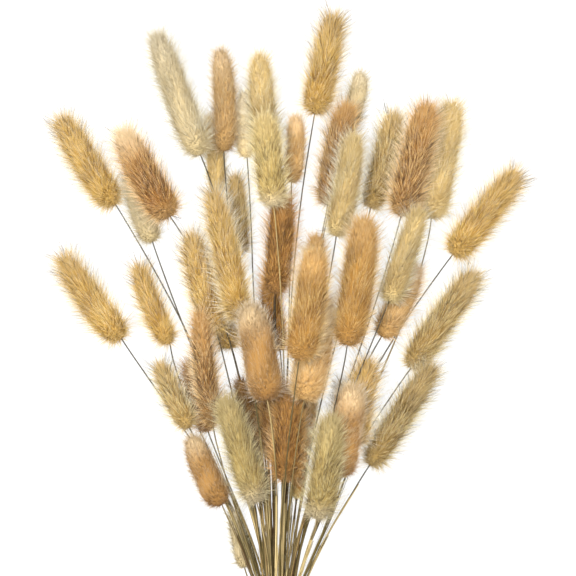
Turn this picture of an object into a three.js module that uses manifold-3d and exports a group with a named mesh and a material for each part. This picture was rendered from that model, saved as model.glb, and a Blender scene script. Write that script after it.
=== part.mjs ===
// Dried bunny tail grass: a tied bunch of dried seed heads on their own stems, lying on its side.
// Millimetres. Seen from above, +X is to the right and +Y points to the heads; +Z is up.
import * as THREE from "three";
import { mergeVertices } from "three/addons/utils/BufferGeometryUtils.js";
import Module from "manifold-3d";

// Stems
const STEM_RADIUS_AT_HEAD = 0.6;
const STEM_RADIUS_AT_CUT = 0.8;
const STEM_SIDES = 5;
const STATION_STEP = 25; // along Y, from one ring of a stem to the next
const BELOW_HEAD_CLEAR = 12; // the last ring stays this far below the head

// Heads
const TUFT_REACH = 0.88; // radius out to the tuft tips, as a share of the radius with the fine hair
const TUFT_VALLEY = 0.72; // radius between tufts, as a share of the radius at their tips
const TUFT_LEAN = 0.5; // how far a tuft tip leans to the head's tip, in ring spacings
const HAIR_PAST_TIP = 1.5; // the fine hair goes on this far past the solid tip
const HEAD_SIDES = 10;
const HEAD_RINGS = 8;
const FIRST_RING = 0.03; // place along the head, from 0 at the stem to 1 at the tip
const LAST_RING = 0.9;
const HEAD_SKEW = 0.85; // under 1, the fullest place lies below the middle
const HEAD_BLUNTNESS = 3; // 2 is an egg, and more is closer to a sausage
const TIP_GIRTH_AT = 0.97; // the pile takes a head's tip to be as thick as it is here
const HEAD_BOW = 1.8; // most that a head's middle stands off its straight line
const TUFT_UNEVEN = 0.06; // tuft tips differ by up to this share of their radius
const FLAT_SPOT = 0.45; // how far the underside of a head on the ground is pressed flat

// The tie and the ends below it
const TIE_X = -6;
const TIE_Y = -205;
const BUNDLE_RADIUS = 8.2;
const TWINE_RADIUS = 1.15;
const TWINE_TURNS = 5;
const TWINE_SIDES = 18;
const TWINE_PITCH = 2.2;
const TWINE_GROOVE = 1.1; // depth of the groove between turns, in twine radii from the inside
const TWINE_SHOULDER = 0.25; // where a turn reaches its full thickness, as a share of its pitch
const KNOT_RADIUS = 1.9; // in twine radii
const KNOT_SHAPE = [1.25, 0.8, 0.9];
const KNOT_RISE = 0.5;
const TWINE_END = [ // the middle line of a free end, from inside the knot: across, along and above the tie
  [0.5, 0, 0.6],
  [5, 2, 2.4],
  [10, 4.5, 0.6],
  [15, 5, -2.6],
];
const TWINE_END_SWEEP = [0, 0, -2, -5]; // both free ends are swept the same way by this much
const CUT_BELOW_TIE = 58;
const CUT_UNEVEN = 15; // the stems were cut by hand, so their ends differ by this much
const END_SPREAD = 1.3; // the ends flare by this factor below the tie

// How stems gather in the tie
const TIE_FOLLOWS_HEAD = 0.07; // share of its head's place across that a stem keeps in the tie
const MIDDLE_LAYER = 1.2;
const TIE_LAYER_HEIGHT = 3;
const TIE_MARGIN = 1; // stems are held as one bundle this far beyond the twine, above and below

// The pile
const CLEARANCE = 0.32; // between any two pieces
const LAYER_HEIGHT = 20;
const LOWEST_LAYER = 10;
const SETTLING_ROUNDS = 420;
const STRICT_ROUNDS = 160;
const SINK_PER_ROUND = 0.09;
const HEAD_YIELD = 0.25; // how readily a head moves for a stem, where a stem's share is 1
const SPRING = 0.4; // how far a stem springs back in the first round
const PUSH = 0.7; // share of an overlap that is taken away in one settling round
const TIE_SPRING = 0.2; // how far a stem's place in the tie follows the stem in one round
const MOST_TILT = 0.3; // rise of a head over its own length
const LEAST_SHARED = 0.5; // stretches that share less height of Y than this are left alone
const HEAD_SEARCH = 20; // heads farther apart than this, skin to skin, never meet
const TOUCHING = 0.05; // middle lines nearer than this are pushed apart straight up and down
const ORDER_STEP = 0.001; // keeps two heads of one layer in the order of the list

const COLOURS = {
  golden: 0xcda55a,
  cream: 0xe1d2a0,
  tan: 0xcd9b5a,
  brown: 0xa06e37,
  olive: 0xaf965a,
  peach: 0xd7aa73,
  twine: 0xb08d57,
};

// Each head: colour, then tip, stem end and full width with its hair, and its layer in the pile.
const HEADS = [
  { colour: "golden", tip: [-129, 98], base: [-97, 47], width: 21.5, layer: 0 },
  { colour: "brown", tip: [-94.5, 91], base: [-66, 40], width: 23, layer: 1 },
  { colour: "cream", tip: [-90, 69], base: [-76, 26], width: 15.7, layer: 0 },
  { colour: "cream", tip: [-75, 145.5], base: [-49, 74.5], width: 16.5, layer: 2 },
  { colour: "tan", tip: [-38.5, 137], base: [-36, 77], width: 14, layer: 1 },
  { colour: "tan", tip: [-46, 99.5], base: [-40, 54], width: 12.5, layer: 0 },
  { colour: "cream", tip: [-23.5, 113.5], base: [-23, 73.5], width: 12.5, layer: 0 },
  { colour: "golden", tip: [-16, 134], base: [-11, 77], width: 16, layer: 1 },
  { colour: "cream", tip: [-13.5, 98.5], base: [-8, 46], width: 18.5, layer: 2.2 },
  { colour: "tan", tip: [4, 100], base: [2, 59.5], width: 11, layer: 0 },
  { colour: "brown", tip: [-3.5, 56], base: [-7.5, -3], width: 17.5, layer: 1 },
  { colour: "brown", tip: [-11, 10], base: [-4.5, -35], width: 13.5, layer: 0 },
  { colour: "golden", tip: [26.5, 156], base: [15, 98], width: 20.5, layer: 0 },
  { colour: "cream", tip: [41.5, 124.5], base: [33.5, 89.5], width: 11, layer: 0 },
  { colour: "brown", tip: [34, 106], base: [22.5, 46.5], width: 20, layer: 1 },
  { colour: "golden", tip: [37.5, 89], base: [27, 29], width: 17, layer: 2 },
  { colour: "olive", tip: [61, 101], base: [46.5, 45], width: 18.5, layer: 0.2 },
  { colour: "brown", tip: [79.5, 106], base: [63.5, 40.5], width: 22.5, layer: 1 },
  { colour: "peach", tip: [94, 107], base: [80.5, 39], width: 21, layer: 0.1 },
  { colour: "golden", tip: [130.5, 67], base: [92.5, 19], width: 21.5, layer: 0 },
  { colour: "olive", tip: [108, 10.5], base: [69, -45], width: 20, layer: 0 },
  { colour: "olive", tip: [83.5, -41.5], base: [46, -99.5], width: 18.5, layer: 1 },
  { colour: "golden", tip: [75, 47], base: [56.5, -7.5], width: 16, layer: 2 },
  { colour: "brown", tip: [73, 16], base: [52.5, -27], width: 14, layer: 1 },
  { colour: "tan", tip: [43.5, 42.5], base: [33, -32], width: 22.5, layer: 2.5 },
  { colour: "tan", tip: [15, 23.5], base: [6, -40], width: 21.5, layer: 3.2 },
  { colour: "golden", tip: [20, -2], base: [9, -62.5], width: 23.5, layer: 2.2 },
  { colour: "brown", tip: [16, 32.5], base: [10, -17], width: 14.5, layer: 1 },
  { colour: "peach", tip: [-22.5, -6.5], base: [-11.5, -62.5], width: 21, layer: 3.1 },
  { colour: "tan", tip: [-54.5, 33], base: [-40, -24.5], width: 19, layer: 1 },
  { colour: "golden", tip: [-43, 56.5], base: [-27, -17], width: 19, layer: 2 },
  { colour: "olive", tip: [-30, 66], base: [-27, 19.5], width: 14.5, layer: 0.5 },
  { colour: "golden", tip: [-128, 20], base: [-93.5, -28.5], width: 21.5, layer: 0 },
  { colour: "golden", tip: [-85, 15], base: [-66.5, -31], width: 16, layer: 0 },
  { colour: "tan", tip: [-45, 18.5], base: [-31.5, -33.5], width: 19, layer: 0 },
  { colour: "olive", tip: [-73.5, -40], base: [-55.5, -78.5], width: 15.5, layer: 0.5 },
  { colour: "brown", tip: [-50, -11], base: [-42, -76.5], width: 15.5, layer: 1 },
  { colour: "tan", tip: [-56.5, -38.5], base: [-45, -80.5], width: 14.5, layer: 0 },
  { colour: "peach", tip: [-55, -80], base: [-37, -121.5], width: 16.5, layer: 1.3 },
  { colour: "golden", tip: [-36.5, -58.5], base: [-17.5, -120], width: 18, layer: 2 },
  { colour: "brown", tip: [-28, -48.5], base: [-17.5, -93.5], width: 13.5, layer: 1 },
  { colour: "olive", tip: [-18, -32], base: [-13.5, -90.5], width: 13.5, layer: 0 },
  { colour: "tan", tip: [0, -51.5], base: [-2, -108], width: 18, layer: 2 },
  { colour: "brown", tip: [-9, -46], base: [-7.5, -96.5], width: 13.5, layer: 1 },
  { colour: "brown", tip: [6.5, -68.5], base: [4.5, -118], width: 11, layer: 1 },
  { colour: "brown", tip: [17, -34.5], base: [8.5, -92], width: 13.5, layer: 0 },
  { colour: "cream", tip: [23.5, -68.5], base: [16, -129], width: 19, layer: 2.4 },
  { colour: "peach", tip: [38, -51.5], base: [29.5, -105.5], width: 20, layer: 2 },
  { colour: "brown", tip: [46.5, -38], base: [37.5, -88], width: 20, layer: 1 },
  { colour: "olive", tip: [31.5, -50.5], base: [25, -97.5], width: 13.5, layer: 0.5 },
  { colour: "cream", tip: [-31.5, -122.5], base: [-24.5, -157], width: 10.5, layer: 0 },
];

// A repeatable draw between 0 and 1
function seededDraw(seed) {
  let state = seed >>> 0;
  return () => {
    state = (state + 0x6d2b79f5) >>> 0;
    let mixed = Math.imul(state ^ (state >>> 15), 1 | state);
    mixed = (mixed + Math.imul(mixed ^ (mixed >>> 7), 61 | mixed)) ^ mixed;
    return ((mixed ^ (mixed >>> 14)) >>> 0) / 4294967296;
  };
}

const draw = seededDraw(51);
const tieHeight = BUNDLE_RADIUS + CLEARANCE + 2 * TWINE_RADIUS - FLAT_SPOT;

// The outline of a head: blunt at the stem, fullest just below the middle, and round at the tip
function headFullness(along) {
  const skewed = 2 * Math.pow(THREE.MathUtils.clamp(along, 0, 1), HEAD_SKEW) - 1;
  return Math.sqrt(1 - Math.pow(Math.abs(skewed), HEAD_BLUNTNESS));
}

// A smooth line between two heights of Y, with a chosen slope at each end
function blendLine(y, low, high) {
  const span = high.y - low.y;
  const t = (y - low.y) / span;
  const t2 = t * t;
  const t3 = t2 * t;
  return (
    (2 * t3 - 3 * t2 + 1) * low.value +
    (t3 - 2 * t2 + t) * span * low.slope +
    (3 * t2 - 2 * t3) * high.value +
    (t3 - t2) * span * high.slope
  );
}

// One tail as a chain of points: up the stem from its cut end, then along the head to its tip
function startTail(head, index) {
  const base = new THREE.Vector2(...head.base);
  const tip = new THREE.Vector2(...head.tip);
  const axis = tip.clone().sub(base).normalize();
  tip.addScaledVector(axis, -HAIR_PAST_TIP);
  const height = LOWEST_LAYER + LAYER_HEIGHT * head.layer;
  const halfTie = (TWINE_TURNS * TWINE_PITCH) / 2 + TIE_MARGIN;
  const cutY = TIE_Y - CUT_BELOW_TIE + CUT_UNEVEN * draw();
  const stations = [cutY, TIE_Y - halfTie, TIE_Y + halfTie];
  const top = base.y - BELOW_HEAD_CLEAR;
  const count = Math.max(1, Math.round((top - stations[2]) / STATION_STEP));
  for (let k = 1; k <= count; k++) stations.push(stations[2] + ((top - stations[2]) * k) / count);
  stations.push(base.y);

  const tail = {
    index,
    colour: head.colour,
    layer: head.layer + index * ORDER_STEP,
    radius: (head.width / 2) * TUFT_REACH,
    base,
    tip,
    baseZ: height,
    tipZ: height,
    slope: axis.x / axis.y,
    bow: HEAD_BOW * (2 * draw() - 1),
    tie: {
      x: TIE_X + base.x * TIE_FOLLOWS_HEAD,
      z: tieHeight + (head.layer - MIDDLE_LAYER) * TIE_LAYER_HEIGHT,
    },
    stemTop: stations.length - 1,
    points: stations.map((y) => ({ x: 0, y, z: 0, r: stemRadius(y, base.y) })),
  };
  const sections = HEAD_RINGS + 1;
  for (let k = 1; k <= sections; k++) {
    const along = k / sections;
    const r = tail.radius * headFullness(Math.min(along, TIP_GIRTH_AT));
    const place = headPlace(tail, along);
    tail.points.push({ x: place.x, y: place.y, z: height, r, along });
  }
  const baseRadius = tail.radius * headFullness(0.5 / sections);
  Object.assign(tail.points[tail.stemTop], { x: base.x, z: height, r: baseRadius, along: 0 });
  for (let k = 0; k < tail.stemTop; k++) {
    const rest = restPlace(tail, tail.points[k].y);
    tail.points[k].x = rest.x;
    tail.points[k].z = rest.z;
  }
  return tail;
}

function stemRadius(y, headY) {
  const share = (headY - y) / (headY - (TIE_Y - CUT_BELOW_TIE));
  return THREE.MathUtils.lerp(STEM_RADIUS_AT_HEAD, STEM_RADIUS_AT_CUT, share);
}

// A point on the head's gently bowed middle line
function headPlace(tail, along) {
  const across = new THREE.Vector2(tail.tip.y - tail.base.y, tail.base.x - tail.tip.x).normalize();
  const bow = tail.bow * 4 * along * (1 - along);
  return {
    x: THREE.MathUtils.lerp(tail.base.x, tail.tip.x, along) + across.x * bow,
    y: THREE.MathUtils.lerp(tail.base.y, tail.tip.y, along) + across.y * bow,
    z: THREE.MathUtils.lerp(tail.baseZ, tail.tipZ, along),
  };
}

// Where a stem would run if nothing were in its way
function restPlace(tail, y) {
  if (y < TIE_Y) {
    const spread = 1 + ((END_SPREAD - 1) * (TIE_Y - y)) / CUT_BELOW_TIE;
    return {
      x: TIE_X + (tail.tie.x - TIE_X) * spread,
      z: tieHeight + (tail.tie.z - tieHeight) * spread,
    };
  }
  const rise = (tail.tipZ - tail.baseZ) / tail.base.distanceTo(tail.tip);
  const low = { y: TIE_Y, slope: 0 };
  const high = { y: tail.base.y };
  return {
    x: blendLine(y, { ...low, value: tail.tie.x }, { ...high, value: tail.base.x, slope: tail.slope }),
    z: blendLine(y, { ...low, value: tail.tie.z }, { ...high, value: tail.baseZ, slope: rise }),
  };
}

// Every two stretches of different tails that share some height of Y, and so could meet
function nearbyPairs(tails) {
  const stretches = tails.flatMap((tail) =>
    tail.points.slice(1).map((point, k) => {
      const ys = [tail.points[k].y, point.y];
      const reach = k >= tail.stemTop ? tail.radius : 0;
      return { tail, k, low: Math.min(...ys) - reach, high: Math.max(...ys) + reach };
    }),
  );
  const pairs = [];
  stretches.forEach((a, i) => {
    for (const b of stretches.slice(i + 1)) {
      const shared = Math.min(a.high, b.high) - Math.max(a.low, b.low);
      if (a.tail === b.tail || shared < LEAST_SHARED) continue;
      const bothHeads = a.k >= a.tail.stemTop && b.k >= b.tail.stemTop;
      const across = Math.abs(a.tail.points[a.k].x - b.tail.points[b.k].x);
      if (bothHeads && across > a.tail.radius + b.tail.radius + HEAD_SEARCH) continue;
      pairs.push([a, b]);
    }
  });
  return pairs;
}

// The nearest points of two straight stretches, as shares of each
function nearestShares(p, q, s, t) {
  const ux = q.x - p.x;
  const uy = q.y - p.y;
  const uz = q.z - p.z;
  const vx = t.x - s.x;
  const vy = t.y - s.y;
  const vz = t.z - s.z;
  const wx = p.x - s.x;
  const wy = p.y - s.y;
  const wz = p.z - s.z;
  const a = ux * ux + uy * uy + uz * uz;
  const b = ux * vx + uy * vy + uz * vz;
  const c = vx * vx + vy * vy + vz * vz;
  const d = ux * wx + uy * wy + uz * wz;
  const e = vx * wx + vy * wy + vz * wz;
  const flat = a * c - b * b;
  let first = flat > 1e-6 ? THREE.MathUtils.clamp((b * e - c * d) / flat, 0, 1) : 0.5;
  let second = (b * first + e) / c;
  if (second < 0 || second > 1) {
    second = THREE.MathUtils.clamp(second, 0, 1);
    first = THREE.MathUtils.clamp((b * second - d) / a, 0, 1);
  }
  return [first, second];
}

// Shifts the point at a share of one stretch: a stem bends, and a head only rises or tips
function shift(tail, k, share, dx, dz) {
  if (k >= tail.stemTop) {
    const low = tail.points[k].along;
    const along = low + (tail.points[k + 1].along - low) * share;
    const weight = (1 - along) ** 2 + along ** 2;
    tail.baseZ += (dz * (1 - along)) / weight;
    tail.tipZ += (dz * along) / weight;
    placeHead(tail);
    return;
  }
  const weight = (1 - share) ** 2 + share ** 2;
  const lower = tail.points[k];
  lower.x += (dx * (1 - share)) / weight;
  lower.z += (dz * (1 - share)) / weight;
  if (k + 1 === tail.stemTop) {
    tail.baseZ += dz * share * HEAD_YIELD;
    placeHead(tail);
    return;
  }
  const upper = tail.points[k + 1];
  upper.x += (dx * share) / weight;
  upper.z += (dz * share) / weight;
}

function placeHead(tail) {
  for (let k = tail.stemTop; k < tail.points.length; k++) {
    tail.points[k].z = THREE.MathUtils.lerp(tail.baseZ, tail.tipZ, tail.points[k].along);
  }
}

// Moves two stretches apart if they are closer than their radii and the clearance allow
function separate([a, b], strength) {
  const p = a.tail.points[a.k];
  const q = a.tail.points[a.k + 1];
  const s = b.tail.points[b.k];
  const t = b.tail.points[b.k + 1];
  const [first, second] = nearestShares(p, q, s, t);
  const needed = THREE.MathUtils.lerp(p.r, q.r, first) + THREE.MathUtils.lerp(s.r, t.r, second) + CLEARANCE;
  const dy = THREE.MathUtils.lerp(p.y, q.y, first) - THREE.MathUtils.lerp(s.y, t.y, second);
  if (Math.abs(dy) >= needed) return;
  let dx = THREE.MathUtils.lerp(p.x, q.x, first) - THREE.MathUtils.lerp(s.x, t.x, second);
  let dz = THREE.MathUtils.lerp(p.z, q.z, first) - THREE.MathUtils.lerp(s.z, t.z, second);
  if (Math.hypot(dx, dy, dz) >= needed) return;
  const aHead = a.k >= a.tail.stemTop;
  const bHead = b.k >= b.tail.stemTop;
  const order = a.tail.layer > b.tail.layer ? 1 : -1;
  if (aHead && bHead) {
    const room = Math.sqrt(Math.max(0, needed * needed - dx * dx - dy * dy));
    const move = (order * room - dz) * strength * 0.5;
    shift(a.tail, a.k, first, 0, move);
    shift(b.tail, b.k, second, 0, -move);
    return;
  }
  let flat = Math.hypot(dx, dz);
  if (flat < TOUCHING) {
    dx = 0;
    dz = order;
    flat = 1;
  }
  const missing = (Math.sqrt(needed * needed - dy * dy) - Math.hypot(dx, dz)) * strength;
  const aShare = aHead ? HEAD_YIELD : 1;
  const bShare = bHead ? HEAD_YIELD : 1;
  const each = missing / (aShare + bShare) / flat;
  shift(a.tail, a.k, first, dx * each * aShare, dz * each * aShare);
  shift(b.tail, b.k, second, -dx * each * bShare, -dz * each * bShare);
}

// Lets a stem spring back to its own line, with its bends spread along it
function springBack(tail, ease) {
  const rests = tail.points.slice(0, tail.stemTop).map((point) => restPlace(tail, point.y));
  rests.push(tail.points[tail.stemTop]);
  for (let k = 1; k < tail.stemTop; k++) {
    const point = tail.points[k];
    for (const side of ["x", "z"]) {
      const below = tail.points[k - 1][side] - rests[k - 1][side];
      const above = tail.points[k + 1][side] - rests[k + 1][side];
      const here = point[side] - rests[k][side];
      point[side] += ease * ((below + above) / 2 - here);
    }
  }
  const tied = tail.points[1];
  tail.tie.x = THREE.MathUtils.lerp(tail.tie.x, tied.x, TIE_SPRING);
  tail.tie.z = THREE.MathUtils.lerp(tail.tie.z, tied.z, TIE_SPRING);
  const end = tail.points[0];
  const loose = restPlace(tail, end.y);
  end.x += ease * (loose.x - end.x);
  end.z += ease * (loose.z - end.z);
}

// Keeps stems in the tie and everything on or above the ground
function holdInPlace(tail) {
  for (let k = 0; k < tail.stemTop; k++) {
    const point = tail.points[k];
    if (k === 1 || k === 2) {
      const dx = point.x - TIE_X;
      const dz = point.z - tieHeight;
      const out = Math.hypot(dx, dz) / (BUNDLE_RADIUS - point.r);
      if (out > 1) {
        point.x = TIE_X + dx / out;
        point.z = tieHeight + dz / out;
      }
    }
    point.z = Math.max(point.z, point.r);
  }
  for (let k = tail.stemTop; k < tail.points.length; k++) {
    const point = tail.points[k];
    const short = point.r - FLAT_SPOT - point.z;
    if (short > 0) {
      tail.baseZ += short * (1 - point.along);
      tail.tipZ += short * point.along;
      placeHead(tail);
    }
  }
  const length = tail.base.distanceTo(tail.tip);
  const tilt = (tail.tipZ - tail.baseZ) / length;
  if (Math.abs(tilt) > MOST_TILT) {
    const extra = ((Math.abs(tilt) - MOST_TILT) * length * Math.sign(tilt)) / 2;
    tail.baseZ += extra;
    tail.tipZ -= extra;
    placeHead(tail);
  }
}

// Lets the whole pile sink to the ground while its pieces push each other clear
function settle(tails) {
  const pairs = nearbyPairs(tails);
  const everyRound = (sink, ease, strength) => {
    for (const tail of tails) {
      springBack(tail, ease);
      tail.baseZ -= sink;
      tail.tipZ -= sink;
      placeHead(tail);
    }
    for (const pair of pairs) separate(pair, strength);
    tails.forEach(holdInPlace);
  };
  for (let round = 0; round < SETTLING_ROUNDS; round++) {
    const left = 1 - round / SETTLING_ROUNDS;
    everyRound(SINK_PER_ROUND * left, SPRING * left, PUSH);
  }
  for (let round = 0; round < STRICT_ROUNDS; round++) everyRound(0, 0, 1);
}

// The skin of one tail: stem rings, then head rings whose every other corner is a tuft tip
function tailGeometry(tail) {
  const positions = [];
  const triangles = [];
  const addPoint = (point) => {
    positions.push(point.x, point.y, Math.max(point.z, 0));
    return positions.length / 3 - 1;
  };
  const rings = tail.points.slice(0, tail.stemTop + 1).map((point, k) => {
    const r = k === tail.stemTop ? STEM_RADIUS_AT_HEAD : point.r;
    return ringAngles(STEM_SIDES).map((angle) =>
      addPoint({ x: point.x + r * Math.cos(angle), y: point.y, z: point.z + r * Math.sin(angle) }),
    );
  });
  for (let k = 1; k < STEM_SIDES - 1; k++) triangles.push(rings[0][0], rings[0][k], rings[0][k + 1]);
  for (let k = 0; k < tail.stemTop; k++) {
    for (let j = 0; j < STEM_SIDES; j++) {
      const next = (j + 1) % STEM_SIDES;
      triangles.push(rings[k][j], rings[k + 1][j], rings[k + 1][next]);
      triangles.push(rings[k][j], rings[k + 1][next], rings[k][next]);
    }
  }

  const start = new THREE.Vector3(tail.base.x, tail.base.y, tail.baseZ);
  const end = new THREE.Vector3(tail.tip.x, tail.tip.y, tail.tipZ);
  const axis = end.clone().sub(start).normalize();
  const right = new THREE.Vector3(1, 0, 0).addScaledVector(axis, -axis.x).normalize();
  const up = right.clone().cross(axis);
  const spacing = (LAST_RING - FIRST_RING) / (HEAD_RINGS - 1);
  const headRings = [];
  for (let k = 0; k < HEAD_RINGS; k++) {
    const ring = ringAngles(HEAD_SIDES).map((angle, j) => {
      const tuft = (j + k) % 2 === 0;
      const along = FIRST_RING + spacing * (k + (tuft ? TUFT_LEAN : 0));
      const r = tail.radius * headFullness(along) * (tuft ? 1 - TUFT_UNEVEN * draw() : TUFT_VALLEY);
      const place = new THREE.Vector3().copy(headPlace(tail, along));
      place.addScaledVector(right, r * Math.cos(angle)).addScaledVector(up, r * Math.sin(angle));
      return addPoint(place);
    });
    headRings.push(ring);
  }
  const collar = rings[tail.stemTop];
  const first = headRings[0];
  for (let j = 0; j < STEM_SIDES; j++) {
    const here = collar[j];
    const next = collar[(j + 1) % STEM_SIDES];
    const [p, q, r] = [first[2 * j], first[2 * j + 1], first[(2 * j + 2) % HEAD_SIDES]];
    triangles.push(here, p, q, here, q, next, next, q, r);
  }
  for (let k = 0; k + 1 < HEAD_RINGS; k++) {
    for (let j = 0; j < HEAD_SIDES; j++) {
      const next = (j + 1) % HEAD_SIDES;
      const [a, b, c, d] = [headRings[k][j], headRings[k][next], headRings[k + 1][next], headRings[k + 1][j]];
      if ((j + k) % 2 === 0) triangles.push(a, d, b, b, d, c);
      else triangles.push(a, d, c, a, c, b);
    }
  }
  const apex = addPoint(end);
  const last = headRings[HEAD_RINGS - 1];
  last.forEach((corner, j) => triangles.push(corner, apex, last[(j + 1) % HEAD_SIDES]));

  const geometry = new THREE.BufferGeometry();
  geometry.setAttribute("position", new THREE.Float32BufferAttribute(positions, 3));
  geometry.setIndex(triangles);
  return geometry;
}

// Corner angles round a ring, turned so that a head's ring has a corner straight below its middle
function ringAngles(sides) {
  return Array.from({ length: sides }, (_, j) => (2 * Math.PI * j) / sides + Math.PI / HEAD_SIDES);
}

// The twine: wound turns round the bundle, a small overhand knot on top and two short cut ends
const wasm = await Module();
wasm.setup();

function asSolid(geometry) {
  const bare = geometry.clone();
  bare.deleteAttribute("normal");
  bare.deleteAttribute("uv");
  const merged = mergeVertices(bare, 1e-4);
  const mesh = new wasm.Mesh({
    numProp: 3,
    vertProperties: new Float32Array(merged.attributes.position.array),
    triVerts: new Uint32Array(merged.index.array),
  });
  return new wasm.Manifold(mesh);
}

function asGeometry(solid) {
  const mesh = solid.getMesh();
  const geometry = new THREE.BufferGeometry();
  geometry.setAttribute("position", new THREE.BufferAttribute(mesh.vertProperties, 3));
  geometry.setIndex(new THREE.BufferAttribute(mesh.triVerts, 1));
  return geometry;
}

function twineGeometry() {
  const inner = BUNDLE_RADIUS + CLEARANCE;
  const outer = inner + TWINE_RADIUS * 2;
  const half = (TWINE_TURNS * TWINE_PITCH) / 2;
  const profile = [new THREE.Vector2(inner, -half)];
  for (let turn = 0; turn < TWINE_TURNS; turn++) {
    const low = -half + turn * TWINE_PITCH;
    profile.push(new THREE.Vector2(inner + TWINE_RADIUS * TWINE_GROOVE, low));
    profile.push(new THREE.Vector2(outer, low + TWINE_PITCH * TWINE_SHOULDER));
    profile.push(new THREE.Vector2(outer, low + TWINE_PITCH * (1 - TWINE_SHOULDER)));
  }
  profile.push(new THREE.Vector2(inner + TWINE_RADIUS * TWINE_GROOVE, half));
  profile.push(new THREE.Vector2(inner, half));
  profile.push(new THREE.Vector2(inner, -half));
  const wound = new THREE.LatheGeometry(profile, TWINE_SIDES);
  wound.rotateY(Math.PI / TWINE_SIDES);

  const knot = new THREE.SphereGeometry(TWINE_RADIUS * KNOT_RADIUS, 9, 6);
  knot.scale(...KNOT_SHAPE);
  knot.translate(0, 0, -outer - KNOT_RISE);
  let solid = asSolid(wound).add(asSolid(knot));
  for (const side of [-1, 1]) {
    const path = new THREE.CatmullRomCurve3(
      TWINE_END.map(([x, y, z], k) => new THREE.Vector3(side * x, side * y + TWINE_END_SWEEP[k], -outer - z)),
    );
    const section = new THREE.Shape();
    section.absarc(0, 0, TWINE_RADIUS, 0, 2 * Math.PI);
    const end = new THREE.ExtrudeGeometry(section, { steps: 7, extrudePath: path, curveSegments: 3 });
    solid = solid.add(asSolid(end));
  }
  const geometry = asGeometry(solid);
  geometry.rotateX(Math.PI);
  geometry.translate(TIE_X, TIE_Y, tieHeight);
  const corners = geometry.attributes.position;
  for (let k = 0; k < corners.count; k++) corners.setZ(k, Math.max(corners.getZ(k), 0));
  return geometry;
}

function material(colour) {
  return new THREE.MeshStandardMaterial({ color: COLOURS[colour], roughness: 0.95, metalness: 0 });
}

const bunch = new THREE.Group();
const tails = HEADS.map(startTail);
settle(tails);
for (const tail of tails) {
  const mesh = new THREE.Mesh(tailGeometry(tail), material(tail.colour));
  mesh.name = `bunny_tail_${String(tail.index + 1).padStart(2, "0")}`;
  bunch.add(mesh);
}
const twine = new THREE.Mesh(twineGeometry(), material("twine"));
twine.name = "twine_tie";
bunch.add(twine);

// The origin is on the ground, under the middle of the bunch's box
const middle = new THREE.Box3().setFromObject(bunch).getCenter(new THREE.Vector3());
bunch.position.set(-middle.x, -middle.y, 0);
const part = new THREE.Group();
part.add(bunch);

export default part;
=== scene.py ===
# %% [markdown]
# Dried bunny tail grass, laid down as one tied bunch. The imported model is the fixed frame: it says where
# each stem runs and how big each seed head is. This script dresses that frame with fur, straw and twine.
# Blender works in metres here, with +Y from the cut ends to the heads and +Z up from the surface.

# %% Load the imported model
import math

import bpy
import numpy as np
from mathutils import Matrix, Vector


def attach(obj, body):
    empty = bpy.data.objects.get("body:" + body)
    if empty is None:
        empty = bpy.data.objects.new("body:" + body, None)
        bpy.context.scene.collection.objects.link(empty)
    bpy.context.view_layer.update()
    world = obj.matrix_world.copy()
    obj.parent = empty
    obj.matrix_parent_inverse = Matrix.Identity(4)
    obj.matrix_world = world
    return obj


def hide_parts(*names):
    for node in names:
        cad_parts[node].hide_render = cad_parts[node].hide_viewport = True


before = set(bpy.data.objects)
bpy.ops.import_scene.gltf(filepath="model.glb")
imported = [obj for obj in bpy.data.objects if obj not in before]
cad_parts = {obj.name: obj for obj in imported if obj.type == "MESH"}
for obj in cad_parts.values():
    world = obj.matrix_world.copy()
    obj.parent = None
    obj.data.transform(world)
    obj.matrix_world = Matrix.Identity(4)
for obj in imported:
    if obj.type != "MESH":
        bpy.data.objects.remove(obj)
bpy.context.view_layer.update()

# %% [markdown]
# Small helpers come first. Millimetres are easier to think in for hair, so a constant turns them into
# metres. Colours are written as the eye names them, in sRGB, and Blender's shaders want linear light.

# %% Units and colours
MM = 0.001
SURFACE_GAP = 0.25 * MM  # loose ends stay this far above the surface


def paint(red, green, blue):
    """An sRGB colour from 0 to 255 as the linear RGBA that shader sockets take."""
    shares = [min(1, value / 255) for value in (red, green, blue)]
    linear = [s / 12.92 if s <= 0.04045 else ((s + 0.055) / 1.055) ** 2.4 for s in shares]
    return (*linear, 1.0)


def ease(value, start, end):
    """0 before start, 1 after end, and a smooth step between them. It takes arrays too."""
    share = np.clip((value - start) / (end - start), 0, 1)
    return share * share * (3 - 2 * share)


def unit(vectors):
    return vectors / np.linalg.norm(vectors, axis=-1, keepdims=True)


def keep_above(places, floor):
    """Raises the places that would lie below this floor. It changes the array itself."""
    places[..., 2] = np.maximum(places[..., 2], floor)


print("a straw colour in linear light", [round(v, 3) for v in paint(200, 170, 120)])

# %% [markdown]
# Each bunny tail in the frame is one solid: rings of five corners up the stem, then a tufted head that
# ends in one point. The fur has to follow that head exactly, so the line and the girth are read back from
# the solid's own corners. That keeps the frame in charge: if the solid moves, the fur moves with it.

# %% Read a tail's own line and girth from its solid
STEM_CORNERS = 5
HEAD_SKEW = 0.85  # below 1 the head is widest a little under its middle
HEAD_BLUNTNESS = 3
FRAME_REACH = 0.88  # the solid's tufts end a little inside the fur
SAME_RING = 1e-5  # corners of one ring differ less than this along Y


def fullness(height, bluntness=HEAD_BLUNTNESS):
    """The head's girth from its base at 0 to its tip at 1, as a share of the widest."""
    skewed = 2 * np.clip(height, 0, 1) ** HEAD_SKEW - 1
    return np.sqrt(np.clip(1 - np.abs(skewed) ** bluntness, 0, 1))


def own_corners(node):
    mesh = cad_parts[node].data
    places = np.empty(len(mesh.vertices) * 3, np.float32)
    mesh.vertices.foreach_get("co", places)
    return np.unique(places.reshape(-1, 3).astype(float).round(6), axis=0)


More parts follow.
